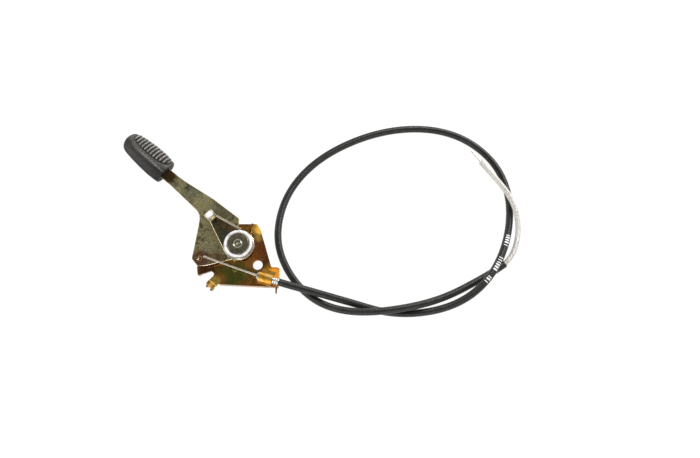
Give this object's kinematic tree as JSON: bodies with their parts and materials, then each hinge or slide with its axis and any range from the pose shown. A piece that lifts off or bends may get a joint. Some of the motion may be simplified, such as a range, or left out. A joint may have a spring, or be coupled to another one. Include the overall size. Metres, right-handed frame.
{
  "type": "lever throttle control",
  "caption": "Hand throttle control: stamped plate, friction-held lever with a ribbed knob, and a looped sheathed cable whose inner wire the lever pulls.",
  "frame": {"origin": "centre of the mounting hole, on the underside of the base plate", "axes": "+Z through the hole towards the lever side; +X roughly towards the cable, +Y towards the pivot side of the plate"},
  "size_m": [0.2742, 0.137, 0.0164],
  "materials": {
    "zinc_yellow_base": "iridescent yellow chromate on zinc, glossy",
    "zinc_gold_clamp": "yellow chromate, bright gold",
    "zinc_olive_lever": "mottled olive chromate, satin",
    "zinc_olive_plate": "dark olive chromate, satin",
    "bright_washer": "bright zinc",
    "spring_steel": "polished spring steel",
    "dark_rivet": "turned dark steel",
    "friction_fibre": "pressed friction fibre",
    "bush_steel": "plain steel",
    "knob_plastic": "moulded black plastic, fine texture",
    "wire_steel": "drawn steel wire",
    "coil_steel": "wound bright spring wire",
    "jacket_black": "black ribbed plastic jacket, satin"
  },
  "bodies": {
    "base": {"base_plate": "zinc_yellow_base", "conduit_clamp": "zinc_gold_clamp", "pivot_rivet": "dark_rivet", "backing_washer": "bright_washer", "friction_disc_lower": "friction_fibre", "pivot_bush": "bush_steel", "disc_spring_lower": "spring_steel", "disc_spring_upper": "spring_steel", "cup_washer": "bright_washer", "conduit_end_cap": "bush_steel", "conduit_front_coil": "coil_steel", "conduit_jacket": "jacket_black", "conduit_tail_coil": "coil_steel", "conduit_tail_sleeve": "coil_steel"},
    "lever": {"lever": "zinc_olive_lever", "knob": "knob_plastic", "friction_disc_upper": "friction_fibre", "friction_plate": "zinc_olive_plate"},
    "control_wire": {"control_wire": "wire_steel"},
    "wire_tip": {"wire_tip": "wire_steel"}
  },
  "joints": [
    {"name": "lever_pivot", "type": "hinge", "parent": "base", "child": "lever", "pos_m": [-0.012, 0.012, 0], "axis": [0, 0, 1], "range_deg": [-30, 0]},
    {"name": "wire_hinge", "type": "hinge", "parent": "lever", "child": "control_wire", "pos_m": [-0.03483, 0.00458, 0], "axis": [0, 0, 1], "range_deg": [0, 15.5]},
    {"name": "wire_tip_slide", "type": "slide", "parent": "base", "child": "wire_tip", "axis": [-0.6018, 0.7986, 0], "range_m": [-0.0065, 0]}
  ],
  "couplings": [
    {"joint": "wire_hinge", "follows": "lever_pivot", "ratio": -0.5},
    {"joint": "wire_tip_slide", "follows": "lever_pivot", "m_per_rad": 0.01206}
  ]
}
